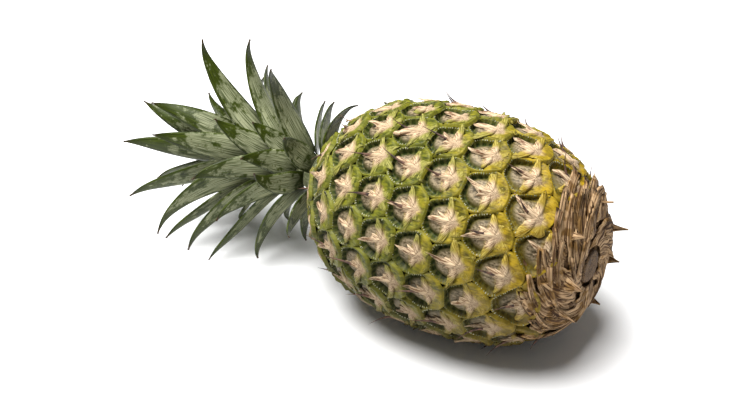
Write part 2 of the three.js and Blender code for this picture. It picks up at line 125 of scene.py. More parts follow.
# Each leaf's lean round the crown in degrees, and its length as a share of its stage's.
LEANING_LEAVES = {
    0: (0, 0.6),
    1: (18, 1.05),
    2: (4, 1.02),
    3: (0, 0.62),
    4: (-2, 1.02),
    5: (0, 0.93),
    6: (0, 0.77),
    7: (20, 0.75),
    8: (0, 0.6),
    9: (-8, 1.2),
    10: (-10, 1.05),
    11: (-14, 0.82),
    12: (-6, 0.7),
    13: (0, 0.93),
    14: (16, 0.72),
    15: (-2, 0.93),
    16: (0, 0.93),
    17: (-4, 0.57),
    18: (22, 1.25),
    19: (8, 0.85),
    20: (-6, 0.95),
    21: (0, 0.93),
    22: (4, 1.12),
    23: (-4, 1.15),
    24: (0, 0.93),
    25: (4, 0.68),
    26: (0, 0.93),
    27: (0, 0.8),
    28: (-20, 1.1),
    29: (0, 0.93),
    30: (6, 1.05),
    31: (14, 1.05),
    32: (0, 0.93),
    33: (0, 0.9),
    34: (0, 0.93),
    35: (-8, 0.93),
    36: (4, 1.05),
    37: (0, 0.93),
    38: (-12, 0.88),
    39: (-4, 0.88),
    40: (0, 0.93),
    41: (4, 1.02),
    42: (0, 0.93),
    43: (16, 0.65),
    44: (0, 0.93),
    45: (0, 0.9),
    46: (10, 1.12),
    47: (0, 0.93),
    48: (8, 0.77),
    49: (0, 0.8),
}

# ---- finer sizes of the dressed part ----

# An eye's tile: share of the way from the disc's middle to the border, height over the skin on
# the crown side, and on the butt side.
TILE_STAGES = [
    (0.0, -1.3, -1.2),
    (0.28, -1.35, -1.2),
    (0.52, -1.5, -1.1),
    (0.68, -1.8, -0.8),
    (0.75, -2.3, -0.6),
    (0.8, -3.3, -0.35),
    (0.838, -3.7, -0.1),
    (0.872, -3.0, 0.1),
    (0.902, -1.7, 0.25),
    (0.928, -0.7, 0.35),
    (0.95, -0.25, 0.4),
    (0.972, -0.1, 0.4),
    (0.985, -0.1, 0.35),
    (1.0, -0.25, 0.2),
    (1.06, -1.2, -0.6),
]
TILE_SECTORS = 48
TILE_OVERLAP = 1.05  # how far a tile's butt side reaches, as a share of the way to its border
# An eye's border is worked out from this many neighbours at most, no further away than this.
NEAR_COUNT = 9
NEAR_LIMIT = 40
CORNER_POWER = 9  # the higher, the sharper the corners of a border
BORDER_STEP = 5  # degrees between the directions that a border is kept for
DISC_AHEAD = 0.1  # the disc's middle, ahead of the eye's foot, as a share of the eye's reach
CORE_DEPTH = 5.4
CORE_STEP = 3.0
CORE_SIDES = 96
# Where a tile goes over from its crown side to its butt side, in degrees from the crown.
CROWN_SIDE_END = 70
BUTT_SIDE_START = 135
# Small teeth stand on an eye's lip, this far round on both sides.
TEETH_COUNT = 29
TEETH_SPREAD = 112
LIP_SHARE = 0.942
TOOTH_LENGTH = 0.75
TOOTH_WIDTH = 0.28
TOOTH_HEIGHT = 0.3
BRACT_HUB = -0.34  # the hub, ahead of the eye's foot, as a share of the eye's reach
# A bract's points: angle from the crown direction, length as a share of the eye's reach,
# height at the end in mm, and half width in degrees.
BRACT_POINTS = [
    (0, 1.12, 0.9, 25),
    (30, 0.62, 0.5, 14),
    (-29, 0.7, 0.5, 14),
    (98, 1.1, 0.2, 34),
    (-98, 1.1, 0.2, 34),
    (146, 0.86, 0.1, 34),
    (-146, 0.86, 0.1, 34),
    (180, 0.62, 0.1, 40),
]
BRACT_WAIST = 0.4
BRACT_WAIST_HEIGHT = -0.1
BRACT_GAP = 0.15
# How wide a bract's tip and its two wings are, in degrees, and the most that they curl up in mm.
# The tip leans to either side by BRACT_LEAN degrees at most.
BRACT_TIP_SPREAD = 40
BRACT_TIP_CURL = 3.4
BRACT_LEAN = 17
BRACT_WING_TURN = 88
BRACT_WING_SPREAD = 34
BRACT_WING_CURL = 3.6
BRACT_THICKNESS = 0.2
BRACT_SECTORS = 48
BRACT_RINGS = 6
THREAD_RADIUS = 0.85
THREAD_TIP_RADIUS = 0.08
# The husk's sheet: its edge, the skirt beyond the edge that dips under the eyes, and its steps.
HUSK_EDGE = 35.0
HUSK_SKIRT = (0.6, 3, 6, 9)
HUSK_SKIRT_HEIGHT = -2.8
HUSK_RINGS = 34
HUSK_STEPS = 240
HUSK_SWIRL = 48.0  # how far round the butt a scale's tip is swept, in degrees
SCALE_ROOT = 2.0  # how far a scale reaches inwards of its root radius
SCALE_THICKNESS = 0.25
STUB_BEVEL = 0.9
STUB_STEPS = 60
STUB_RINGS = 6
LEAF_STRIPS = 8
WELD = 0.0005  # points closer than this are one

# ---- light and camera, in metres and degrees ----

PAINT_SHADE = 0.62  # how much of a colour's light a paint keeps
WORLD_STRENGTH = 0.17
KEY_PLACE = (-0.26, -0.17, 1.15)
KEY_AIM = (0, 0, 0.05)
KEY_SIZE = 1.0
KEY_POWER = 36
FLOOR_HALF = 6
CAMERA_AZIMUTH = 29.07
CAMERA_ELEVATION = 32.93
CAMERA_DISTANCE = 0.78
SENSOR_WIDTH = 36
# In pixels: the picture's width, the focal length, and how far the picture's middle is to the
# right of the fruit's middle and above it.
PICTURE_WIDTH = 738
FOCAL_LENGTH = 1475.4
SHIFT_RIGHT = -84.18
SHIFT_UP = 9.0


# ---- helpers ----


def chance(seed):
    """The same number from 0 to 1 for the same seed."""
    wave = math.sin(seed * 12.9898 + 4.1414) * 43758.5453
    return wave - math.floor(wave)


def clamp(value, low=0.0, high=1.0):
    return min(high, max(low, value))


def lerp(start, end, share):
    return start + (end - start) * share


def smooth(value, low, high):
    share = clamp((value - low) / (high - low))
    return share * share * (3 - 2 * share)


def along_stages(stages, station, column):
    """Reads a column of a table of stages, whose first column is the station."""
    k = 1
    while k < len(stages) - 1 and stages[k][0] < station:
        k += 1
    start = stages[k - 1]
    end = stages[k]
    share = clamp((station - start[0]) / (end[0] - start[0]))
    return lerp(start[column], end[column], share)


def keep_off_floor(point, gap):
    """Lifts a point that is lower than the gap over the surface that the fruit lies on."""
    point.z = max(point.z, gap - AXIS_HEIGHT)


def grid_of(bm, columns, rows, **settings):
    """The points of a new grid whose x and y go from -1 to 1."""
    grid = bmesh.ops.create_grid(bm, x_segments=columns, y_segments=rows, size=1, **settings)
    return grid["verts"]


def weld(bm, points):
    bmesh.ops.remove_doubles(bm, verts=points, dist=WELD)


# ---- the fruit's skin ----


def skin_half(x):
    if x > 0:
        return BUTT_REACH, BUTT_POWER
    return NECK_REACH, NECK_POWER


def skin_radius(x):
    reach, power = skin_half(x)
    return FRUIT_RADIUS * (1 - (abs(x) / reach) ** power) ** (1 / power)


def around_axis(x, radius, degrees):
    """Angle 0 faces -Y and 90 faces up."""
    angle = math.radians(degrees)
    return Vector((x, -radius * math.cos(angle), radius * math.sin(angle)))


def onto_skin(point):
    reach, power = skin_half(point.x)
    radius = math.hypot(point.y, point.z)
    size = (abs(point.x) / reach) ** power + (radius / FRUIT_RADIUS) ** power
    return point * size ** (-1 / power)


def skin_normal(point):
    reach, power = skin_half(point.x)
    radius = max(math.hypot(point.y, point.z), 1e-6)
    along = (abs(point.x) / reach) ** (power - 1) / reach
    out = (radius / FRUIT_RADIUS) ** (power - 1) / FRUIT_RADIUS / radius
    side = 1 if point.x > 0 else -1
    return Vector((side * along, point.y * out, point.z * out)).normalized()


def lifted(point, height):
    foot = onto_skin(point)
    return foot + skin_normal(foot) * height


def eye_share(x):
    return EYE_AREA * (1 + EYE_GROWTH * x / BUTT_REACH)


def eye_spiral():
    """Places on one spiral from butt to neck, each with its own share of the skin."""
    step = 0.05
    places = []
    for side, last in ((1, HUSK_RADIUS), (-1, NECK_RADIUS)):
        x = FIRST_EYE_X
        area = 0.0
        count = 0 if side > 0 else 1
        while skin_radius(x) > last:
            if area >= count:
                places.append((x, FIRST_EYE_ANGLE - side * count * EYE_DIVERGENCE, -side * count))
                count += 1
            slope = (skin_radius(x + side * step) - skin_radius(x)) / step
            area += 2 * math.pi * skin_radius(x) * math.hypot(1, slope) * step / eye_share(x)
            x += side * step
    return places


def butt_share(turn):
    """0 on an eye's crown side and 1 on its butt side, for a turn from the crown."""
    return smooth(abs(turn), CROWN_SIDE_END, BUTT_SIDE_START)


class Eye:
    """One eye of the rind, with its own directions: ahead to the crown, across, and out."""

    def __init__(self, x, angle, turn):
        self.turn = turn
        self.foot = around_axis(x, skin_radius(x), angle)
        self.out = skin_normal(self.foot)
        ahead = (Vector((-1, 0, 0)) + self.out * self.out.x).normalized()
        yaw = math.radians((chance(turn) - 0.5) * 2 * BRACT_YAW)
        self.ahead = Matrix.Rotation(yaw, 3, self.out) @ ahead
        self.across = self.out.cross(self.ahead)
        self.reach = 0.5 * math.sqrt(eye_share(x))

    def spot(self, forward, side, height):
        """A point by its share of the eye's reach ahead and across, and its height in mm."""
        flat = self.foot + (self.ahead * forward + self.across * side) * self.reach
        return lifted(flat, height)

    def local(self, point):
        way = point - self.foot
        return Vector((way.dot(self.ahead) / self.reach, way.dot(self.across) / self.reach))

    def meet(self, places):
        """Notes where the eyes and plain cells next to this one lie."""
        self.near = []
        for place in places:
            apart = (place - self.foot).length
            if 0.1 < apart < NEAR_LIMIT:
                self.near.append(self.local(place).normalized() * apart / self.reach)
        self.near.sort(key=lambda way: way.length)
        self.near = self.near[:NEAR_COUNT]
        steps = 360 // BORDER_STEP
        self.borders = [self.border_run(BORDER_STEP * k - 180) for k in range(steps + 1)]
        self.disc = min(self.borders)

    def border(self, turn):
        """How far the border is from the disc's middle, in a direction in degrees."""
        place = clamp((turn + 180) / BORDER_STEP, 0, len(self.borders) - 1.001)
        k = int(place)
        return lerp(self.borders[k], self.borders[k + 1], place - k)

    def border_run(self, turn):
        """Works out how far the border is, from the eyes next to this one."""
        way = Vector((math.cos(math.radians(turn)), math.sin(math.radians(turn))))
        middle = Vector((DISC_AHEAD, 0))
        total = 0.0
        for near in self.near:
            facing = way.dot(near)
            if facing > 0.02:
                run = (near.length_squared / 2 - middle.dot(near)) / facing
                total += max(run, 0.2) ** -CORNER_POWER
        return total ** (-1 / CORNER_POWER)

    def tile_reach(self, turn, share):
        """Shares inside the disc make circles, and towards the border they follow it."""
        outer = lerp(self.disc, self.border(turn), smooth(share, 0.6, 1.0))
        overlap = lerp(0.98, TILE_OVERLAP, butt_share(turn) * smooth(share, 0.5, 1))
        return outer * share * overlap

    def tile_height(self, turn, share):
        """The tile's height in mm over the skin."""
        behind = butt_share(turn)
        crown_side = along_stages(TILE_STAGES, share, 1)
        butt_side = along_stages(TILE_STAGES, share, 2)
        plump = 0.8 + 0.5 * chance(self.turn + 0.2)
        if butt_side > -1.2:
            corner = smooth(self.border(turn) / self.disc, 1.02, 1.28)
            butt_side = -1.2 + (butt_side + 1.2) * plump * lerp(0.4, 1.5, corner)
        return lerp(crown_side, butt_side, behind)

    def height_at(self, forward, side):
        """The tile's height over the skin at a place in the eye."""
        ahead = forward - DISC_AHEAD
        turn = math.degrees(math.atan2(side, ahead))
        away = math.hypot(ahead, side)
        share = away / self.disc
        for _ in range(3):
            share *= away / max(self.tile_reach(turn, share), 0.01)
        return self.tile_height(turn, share)


def butt_x(radius):
    return BUTT_REACH * (1 - (radius / FRUIT_RADIUS) ** BUTT_POWER) ** (1 / BUTT_POWER)


def neck_x(radius):
    return -NECK_REACH * (1 - (radius / FRUIT_RADIUS) ** NECK_POWER) ** (1 / NECK_POWER)


def plain_cells():
    """Plain cells fill both ends, where the husk and the crown sit."""
    cells = []
    for place, radius, count in ((butt_x, 30, 9), (butt_x, 15, 6), (neck_x, 9, 5)):
        for k in range(count):
            cells.append(around_axis(place(radius), radius, 360 * k / count + PLAIN_TURN))
    return cells


EYES = [Eye(*place) for place in eye_spiral()]
CELL_PLACES = [eye.foot for eye in EYES] + plain_cells()
for eye in EYES:
    eye.meet(CELL_PLACES)
LOWEST_EYE = min(EYES, key=lambda eye: eye.foot.z)
FRUIT_MIDDLE = Vector((-LOWEST_EYE.foot.x, 0, AXIS_HEIGHT))
TO_FRAME = Matrix.Scale(0.001, 4) @ Matrix.Translation(FRUIT_MIDDLE)


# ---- finishing a piece ----


def finish_piece(name, bm, material, replaces=()):
    """Moves a mesh into the part's frame and makes it a piece that rides on the part."""
    bmesh.ops.transform(bm, matrix=TO_FRAME, verts=bm.verts)
    for face in bm.faces:
        face.smooth = True
    mesh = bpy.data.meshes.new(name)
    bm.to_mesh(mesh)
    bm.free()
    piece = bpy.data.objects.new(name, mesh)
    bpy.context.collection.objects.link(piece)
    mesh.materials.append(material)
    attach(piece, "root")
    if replaces:
        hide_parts(*replaces)
    return piece


def thicken(piece, thickness):
    """Gives a sheet its thickness, half on each side of it."""
    wall = piece.modifiers.new("wall", "SOLIDIFY")
    wall.thickness = thickness * 0.001
    wall.offset = 0.0


# ---- node helpers ----


def paint(red, green, blue, shade=PAINT_SHADE):
    """A colour given as it looks under the studio light, from 0 to 255."""
    shares = []
    for value in (red, green, blue):
        share = value / 255
        if share <= 0.04045:
            shares.append(shade * share / 12.92)
        else:
            shares.append(shade * ((share + 0.055) / 1.055) ** 2.4)
    return (*shares, 1.0)


class Finish:
    """A procedural finish, built node by node."""

    def __init__(self, name):
        self.material = bpy.data.materials.new(name)
        self.material.use_nodes = True
        self.tree = self.material.node_tree
        self.shader = self.tree.nodes["Principled BSDF"]
        self.places = self.add("TexCoord").outputs["Object"]

    def add(self, kind, *values, **settings):
        node = self.tree.nodes.new("ShaderNode" + kind)
        for setting, value in settings.items():
            setattr(node, setting, value)
        for socket, value in zip(node.inputs, values):
            self.feed(socket, value)
        return node

    def feed(self, socket, value):
        if value is None:
            return
        if isinstance(value, bpy.types.NodeSocket):
            self.tree.links.new(value, socket)
        else:
            socket.default_value = value

    def calculate(self, operation, first, second=0.0, third=0.0):
        return self.add("Math", first, second, third, operation=operation).outputs[0]

    def plus(self, first, second):
        return self.calculate("ADD", first, second)

    def minus(self, first, second):
        return self.calculate("SUBTRACT", first, second)

    def times(self, first, second):
        return self.calculate("MULTIPLY", first, second)

    def split(self, vector):
        """A vector's three numbers."""
        return self.add("SeparateXYZ", vector).outputs

    def join(self, first, second, third):
        """Three numbers as one vector."""
        return self.add("CombineXYZ", first, second, third).outputs[0]

    def rise(self, value, low, high, start=0.0, end=1.0):
        """Goes softly from start to end as the value goes from low to high."""
        node = self.add("MapRange", value, low, high, start, end, interpolation_type="SMOOTHSTEP")
        return node.outputs["Result"]

    def blend(self, share, first, second):
        """The first colour where the share is 0, and the second where it is 1."""
        node = self.add("Mix", data_type="RGBA")
        self.feed(node.inputs[0], share)
        self.feed(node.inputs[6], first)
        self.feed(node.inputs[7], second)
        return node.outputs[2]

    def noise_at(self, spots, scale, detail, roughness=0.5):
        """Noise read at a vector of its own."""
        node = self.add("TexNoise")
        self.feed(node.inputs["Vector"], spots)
        self.feed(node.inputs["Scale"], scale)
        self.feed(node.inputs["Detail"], detail)
        self.feed(node.inputs["Roughness"], roughness)
        return node.outputs["Fac"]

    def speckle(self, size, detail, stretch=None):
        """Noise with blotches about the size given, in mm, stretched as asked."""
        spots = self.places
        if stretch:
            spots = self.add("Mapping", spots, (0, 0, 0), (0, 0, 0), stretch).outputs[0]
        return self.noise_at(spots, 1000.0 / size, detail, 0.55)

    def attribute(self, name):
        return self.add("Attribute", attribute_name=name)

    def relief(self, height, strength, distance):
        node = self.add("Bump")
        self.feed(node.inputs["Height"], height)
        self.feed(node.inputs["Strength"], strength)
        self.feed(node.inputs["Distance"], distance * 0.001)
        self.feed(self.shader.inputs["Normal"], node.outputs["Normal"])

    def set(self, **values):
        for name, value in values.items():
            self.feed(self.shader.inputs[name.replace("_", " ")], value)


def ripeness(finish, along, coarse):
    """0 on the green side by the crown and 1 on the yellow side by the butt, with a soft edge."""
    wander = finish.times(finish.minus(coarse, 0.5), 0.06)
    return finish.rise(finish.plus(along, wander), -0.02, 0.08)


def hub_distance(finish, forward, side, fibre, ragged):
    """How far a place is to the side of the bract's hub and behind it, with a ragged edge."""
    back = finish.calculate("MAXIMUM", finish.minus(BRACT_HUB, forward), 0.0)
    out = finish.plus(finish.calculate("ABSOLUTE", side), finish.times(back, 1.2))
    return finish.plus(out, finish.times(finish.minus(fibre, 0.5), ragged))


def painted_shade_low_down(finish, colour, dark, strength):
    """Painted shade: goes towards the dark colour from 0.1 m up down to the surface that the fruit
    lies on.
    """
    height = finish.split(finish.places)[2]
    return finish.blend(finish.rise(height, 0.1, 0.0, 0.0, strength), colour, dark)


# ---- the rind ----


def skin_profile(step):
    """Points of the skin's half outline as (x, radius), from the butt face to the neck face."""
    x = BUTT_FACE_X
    outline = []
    travelled = step
    stride = 0.05
    while x > NECK_FACE_X:
        if travelled >= step:
            outline.append((x, skin_radius(x)))
            travelled = 0.0
        slope = (skin_radius(x - stride) - skin_radius(x)) / stride
        travelled += stride * math.hypot(1, slope)
        x -= stride
    outline.append((NECK_FACE_X, skin_radius(NECK_FACE_X)))
    return outline


def add_core(bm):
    """The sunken green skin between and under the eyes."""
    outline = []
    for x, radius in skin_profile(CORE_STEP):
        spot = lifted(around_axis(x, radius, 0), -CORE_DEPTH)
        outline.append((spot.x, -spot.y))
    outline.insert(0, (outline[0][0], 0))
    outline.append((outline[-1][0], 0))
    lathe(bm, outline, CORE_SIDES)
    for vert in bm.verts:
        keep_off_floor(vert.co, 0.2)


def tile_spot(eye, turn, share):
    """A point of an eye's tile: turn 0 towards the crown, share 1 at the border."""
    reach = eye.tile_reach(turn, share)
    forward = DISC_AHEAD + reach * math.cos(math.radians(turn))
    side = reach * math.sin(math.radians(turn))
    spot = eye.spot(forward, side, eye.tile_height(turn, share))
    lumps = 0.3 * noise.noise(spot * 0.3) + 0.3 * noise.noise(spot * 0.85)
    way = math.radians(turn)
    crease = noise.noise(Vector((math.cos(way) * 3.5, math.sin(way) * 3.5, eye.turn * 9.7)))
    lumps += 0.9 * crease * smooth(share, 0.55, 0.85) * smooth(abs(turn), 70, 120)
    spot += eye.out * lumps * smooth(share, 0.0, 0.3)
    keep_off_floor(spot, 0.05)
    return spot, forward, side


def make_rind():
    """The sunken core and a tile for each eye, in one piece."""
    bm = bmesh.new()
    add_core(bm)
    place_layer = bm.verts.layers.float_vector.new("eye_place")
    tile_layer = bm.verts.layers.float_vector.new("tile_place")
    rings = len(TILE_STAGES) - 1
    for eye in EYES:
        grid = grid_of(bm, TILE_SECTORS, rings)
        for vert in grid:
            turn = -180 * vert.co.x
            share = TILE_STAGES[round((vert.co.y + 1) / 2 * rings)][0]
            vert.co, forward, side = tile_spot(eye, turn, share)
            vert[place_layer] = (forward, side, chance(eye.turn + 0.7))
            vert[tile_layer] = (share, butt_share(turn), 1.0)
        weld(bm, grid)
    finish_piece("rind", bm, rind_finish(), replaces=("fruit",))


def rind_finish():
    finish = Finish("pineapple_rind")
    place = finish.attribute("eye_place").outputs["Vector"]
    forward, side, seed = finish.split(place)
    tile = finish.attribute("tile_place").outputs["Vector"]
    share, behind, on_tile = finish.split(tile)
    ahead = finish.minus(forward, DISC_AHEAD)
    turn = finish.calculate("ARCTAN2", side, ahead)
    fine = finish.speckle(1.1, 4)
    coarse = finish.speckle(6.0, 3)
    spots = finish.join(forward, finish.times(side, 4.0), seed)
    fibre = finish.noise_at(spots, 3.0, 4.0)
    along = finish.split(finish.places)[0]
    ripe = ripeness(finish, along, coarse)
    ribs = finish.rise(finish.calculate("SINE", finish.times(turn, 17.0)), -0.3, 0.9)

    green = finish.blend(finish.rise(fine, 0.35, 0.65), paint(22, 34, 2), paint(70, 86, 18))
    streak = finish.times(finish.plus(coarse, fibre), 0.5)
    fresh = finish.blend(finish.rise(streak, 0.35, 0.65), paint(58, 68, 4), paint(142, 142, 34))
    yellow = finish.blend(finish.rise(streak, 0.35, 0.65), paint(138, 106, 4), paint(214, 176, 34))
    flesh = finish.blend(ripe, fresh, yellow)
    mottle = finish.plus(finish.times(fibre, 0.5), finish.times(fine, 0.5))
    disc = finish.blend(finish.rise(mottle, 0.38, 0.6), paint(96, 82, 56), paint(186, 166, 132))
    # painted shade: the disc goes darker towards its ring
    shady = finish.blend(ripe, paint(74, 74, 34), paint(124, 106, 40))
    disc = finish.blend(finish.rise(share, 0.52, 0.79), disc, shady)

    gold = finish.blend(finish.rise(fine, 0.35, 0.65), paint(84, 70, 6), paint(150, 128, 26))
    dim = finish.blend(finish.rise(along, 0.015, 0.05), green, gold)
    wall = finish.blend(finish.times(ribs, 0.3), dim, paint(166, 162, 92))
    colour = finish.blend(finish.rise(share, 0.88, 0.975), wall, flesh)
    ragged = finish.times(finish.minus(fine, 0.5), 0.22)
    ragged = finish.plus(share, ragged)
    colour = finish.blend(finish.rise(ragged, 0.81, 0.73), colour, disc)
    # painted shade: on the butt side the flesh goes dark down its slope towards the groove
    shaded = finish.blend(finish.rise(share, 0.8, 0.97), paint(48, 54, 4), flesh)
    flesh = finish.blend(finish.rise(behind, 0.5, 1.0), shaded, flesh)
    colour = finish.blend(finish.rise(behind, 0.2, 0.8), colour, flesh)
    # painted highlight: a lighter line along the crest of each eye's flesh
    lit = finish.blend(ripe, paint(158, 158, 56), paint(222, 192, 66))
    colour = finish.blend(finish.rise(share, 0.93, 0.99, 0.0, 0.28), colour, lit)
    out = hub_distance(finish, forward, side, fibre, 0.6)
    cream = finish.times(finish.rise(out, 0.85, 0.45), finish.rise(behind, 0.2, 0.8))
    pale = finish.blend(finish.rise(fibre, 0.32, 0.62), paint(160, 128, 72), paint(226, 200, 142))
    colour = finish.blend(cream, colour, pale)
    # painted shade: the rind goes darker towards the surface that the fruit lies on
    colour = painted_shade_low_down(finish, colour, paint(48, 42, 12), 0.75)
    core = finish.rise(on_tile, 0.5, 0.0)
    under = finish.blend(finish.rise(along, 0.04, 0.06), paint(34, 40, 10), paint(86, 62, 36))
    colour = finish.blend(core, colour, under)
    grain = finish.speckle(0.6, 3)
    colour = finish.blend(finish.rise(grain, 0.56, 0.76, 0.0, 0.35), colour, paint(66, 58, 24))
    finish.set(Base_Color=colour, Specular_IOR_Level=0.22)
    finish.set(Roughness=finish.rise(fine, 0.3, 0.7, 0.45, 0.7))
    height = finish.plus(fine, finish.times(fibre, 0.8))
    finish.relief(height, 0.5, 0.35)
    return finish.material


# ---- papery bracts, rim teeth and dry threads ----


def bract_outline(angle):
    """A bract's reach and end height in a direction from its hub, in degrees."""
    reach = BRACT_WAIST
    height = BRACT_WAIST_HEIGHT
    for point_angle, length, end_height, half_width in BRACT_POINTS:
        off = abs((angle - point_angle + 180) % 360 - 180)
        share = clamp(1 - off / half_width) ** 1.25
        reach = max(reach, lerp(BRACT_WAIST, length, share))
        height = max(height, lerp(BRACT_WAIST_HEIGHT, end_height, share))
    return reach, height


def make_bracts():
    """A papery star over the butt side of each eye, with a long tip over the disc."""
    bm = bmesh.new()
    place_layer = bm.verts.layers.float_vector.new("bract_place")
    outlines = {}
    for k in range(BRACT_SECTORS + 1):
        outlines[k] = bract_outline(-180 + 360 * k / BRACT_SECTORS)
    for eye in EYES:
        grid = grid_of(bm, BRACT_SECTORS, BRACT_RINGS)
        lean = 2 * BRACT_LEAN * (chance(eye.turn + 0.3) - 0.5)
        size = 0.86 + 0.34 * chance(eye.turn + 0.5)
        crest = eye.height_at(BRACT_HUB, 0) + 1.5 + 0.9 * chance(eye.turn + 0.6)
        for vert in grid:
            sector = round((1 - vert.co.x) / 2 * BRACT_SECTORS)
            share = (vert.co.y + 1) / 2
            angle = -180 + 360 * sector / BRACT_SECTORS
            reach, end_height = outlines[sector]
            arm = round(angle / 90) % 4
            own_length = 0.8 + 0.5 * chance(eye.turn * 7 + arm)
            ragged = 1 + 0.3 * (chance(eye.turn * 50 + sector % BRACT_SECTORS) - 0.5)
            tip = smooth(BRACT_TIP_SPREAD - abs(angle), 0, BRACT_TIP_SPREAD)
            off_wing = abs(abs(angle) - BRACT_WING_TURN)
            wing = smooth(BRACT_WING_SPREAD - off_wing, 0, BRACT_WING_SPREAD)
            sweep = lerp(1.08, 0.8, share) if abs(angle) < 130 else 1.0
            way = math.radians(angle * sweep + lean * tip * share)
            reach = BRACT_WAIST + (reach - BRACT_WAIST) * own_length
            reach *= size * ragged * share
            forward = BRACT_HUB + reach * math.cos(way)
            side = reach * math.sin(way)
            curl = tip * BRACT_TIP_CURL * chance(eye.turn + 0.9) ** 2
            curl += wing * BRACT_WING_CURL * chance(eye.turn * 3 + arm) ** 2
            under = eye.height_at(forward, side)
            edge = under + BRACT_GAP + end_height * tip + curl * share**2.2
            fold = 0.6 * max(tip, wing) * math.sin(math.pi * share)
            height = max(lerp(crest, edge, share**0.8) + fold, under + BRACT_GAP)
            vert.co = eye.spot(forward, side, height)
            keep_off_floor(vert.co, 0.2)
            vert[place_layer] = (forward, side, share)
        weld(bm, grid)
    piece = finish_piece("papery_bracts", bm, bract_finish())
    thicken(piece, BRACT_THICKNESS)


def bract_finish():
    finish = Finish("papery_bract")
    place = finish.attribute("bract_place").outputs["Vector"]
    forward, side, share = finish.split(place)
    coarse = finish.speckle(6.0, 3)
    fine = finish.speckle(0.9, 3)
    away = finish.calculate("ARCTAN2", side, finish.minus(forward, BRACT_HUB - 0.3))
    spots = finish.join(share, finish.times(away, 9.0), coarse)
    fibre = finish.noise_at(spots, 2.2, 5.0)
    along = finish.split(finish.places)[0]
    ripe = ripeness(finish, along, coarse)
    paper = finish.blend(finish.rise(fibre, 0.32, 0.62), paint(122, 78, 46), paint(255, 226, 184))
    fresh = finish.blend(finish.rise(fibre, 0.35, 0.65), paint(110, 110, 28), paint(192, 186, 98))
    yellow = finish.blend(finish.rise(fibre, 0.35, 0.65), paint(160, 124, 16), paint(228, 196, 84))
    flesh = finish.blend(ripe, fresh, yellow)
    out = hub_distance(finish, forward, side, fibre, 0.5)
    colour = finish.blend(finish.rise(out, 0.42, 0.75), paper, flesh)
    burnt = finish.times(finish.rise(fine, 0.58, 0.68), finish.rise(share, 0.2, 0.9))
    colour = finish.blend(finish.times(burnt, 0.8), colour, paint(88, 58, 34))
    # painted shade: the bracts go darker towards the surface that the fruit lies on
    colour = painted_shade_low_down(finish, colour, paint(84, 66, 36), 0.7)
    finish.set(Base_Color=colour, Roughness=0.6, Specular_IOR_Level=0.2)
    finish.relief(finish.plus(fibre, finish.times(fine, 0.3)), 0.7, 0.4)
    return finish.material


def make_teeth():
    """The pale teeth on the lips of the eyes."""
    bm = bmesh.new()
    for eye in EYES:
        add_teeth(bm, eye)
    finish_piece("rim_teeth", bm, tooth_finish())


def add_teeth(bm, eye):
    """One eye's teeth are made by themselves, then joined to the others."""
    row = bmesh.new()
    for k in range(TEETH_COUNT):
        share = (k + 0.5 * chance(eye.turn * 20 + k)) / (TEETH_COUNT - 0.5)
        turn = lerp(-TEETH_SPREAD, TEETH_SPREAD, share)
        place, _, _ = tile_spot(eye, turn, LIP_SHARE)
        if place.z < -AXIS_HEIGHT + 0.8:
            continue
        way = math.radians(turn)
        out = eye.ahead * math.cos(way) + eye.across * math.sin(way)
        facing = Matrix((out, eye.out.cross(out), eye.out)).transposed().to_4x4()
        size = 0.75 + 0.4 * chance(eye.turn * 30 + k)
        shape = Matrix.Diagonal((TOOTH_LENGTH * size, TOOTH_WIDTH, TOOTH_HEIGHT, 1))
        seat = Matrix.Translation(place) @ facing @ shape
        bmesh.ops.create_icosphere(row, subdivisions=1, radius=1, matrix=seat)
    mesh = bpy.data.meshes.new("teeth_row")
    row.to_mesh(mesh)
    row.free()
    bm.from_mesh(mesh)
    bpy.data.meshes.remove(mesh)


def tooth_finish():
    finish = Finish("pale_rim_tooth")
    fine = finish.speckle(0.9, 2)
    patch = finish.speckle(9, 2)
    pale = finish.blend(finish.rise(fine, 0.35, 0.65), paint(136, 140, 84), paint(220, 218, 186))
    colour = finish.blend(finish.rise(patch, 0.45, 0.55), pale, paint(92, 98, 40))
    finish.set(Base_Color=colour, Roughness=0.5)
    finish.relief(fine, 0.3, 0.2)
    return finish.material


def make_threads():
    """Long dry hairs at the ends of some bracts."""
    bm = bmesh.new()
    for eye in EYES:
        if chance(eye.turn + 0.15) > 0.5:
            continue
        length = 7 + 9 * chance(eye.turn + 0.25)
        rise = 3 + 6.5 * chance(eye.turn + 0.35)
        veer = 8 * (chance(eye.turn + 0.45) - 0.5)
        grid = grid_of(bm, 4, 6)
        start = eye.spot(0.1, 0, 0.2)
        for vert in grid:
            along = (vert.co.y + 1) / 2
            thin = THREAD_RADIUS * (1 - along) + THREAD_TIP_RADIUS
            angle = math.pi * vert.co.x
            spine = start + eye.ahead * length * along + eye.across * veer * along**2
            spine += eye.out * rise * along**1.7
            wall = eye.across * math.cos(angle) + eye.out * math.sin(angle)
            vert.co = spine + wall * thin
            keep_off_floor(vert.co, 0.3)
        weld(bm, grid)
    bmesh.ops.recalc_face_normals(bm, faces=bm.faces)
    finish_piece("dry_threads", bm, thread_finish())


def thread_finish():
    finish = Finish("dry_thread")
    patch = finish.speckle(3, 3)
    colour = finish.blend(finish.rise(patch, 0.35, 0.65), paint(52, 32, 24), paint(122, 86, 66))
    finish.set(Base_Color=colour, Roughness=0.8)
    finish.relief(patch, 0.3, 0.1)
    return finish.material


# ---- the dry husk and the cut stalk at the butt ----


def husk_spot(radius, angle, height):
    """A point over the butt: height in mm over the eyes' skin, or over the cut face."""
    spot = lifted(around_axis(butt_x(radius), radius, angle), height)
    spot.x = min(spot.x, BUTT_FACE_X + CLEARANCE + HUSK_THICKNESS + height)
    return spot


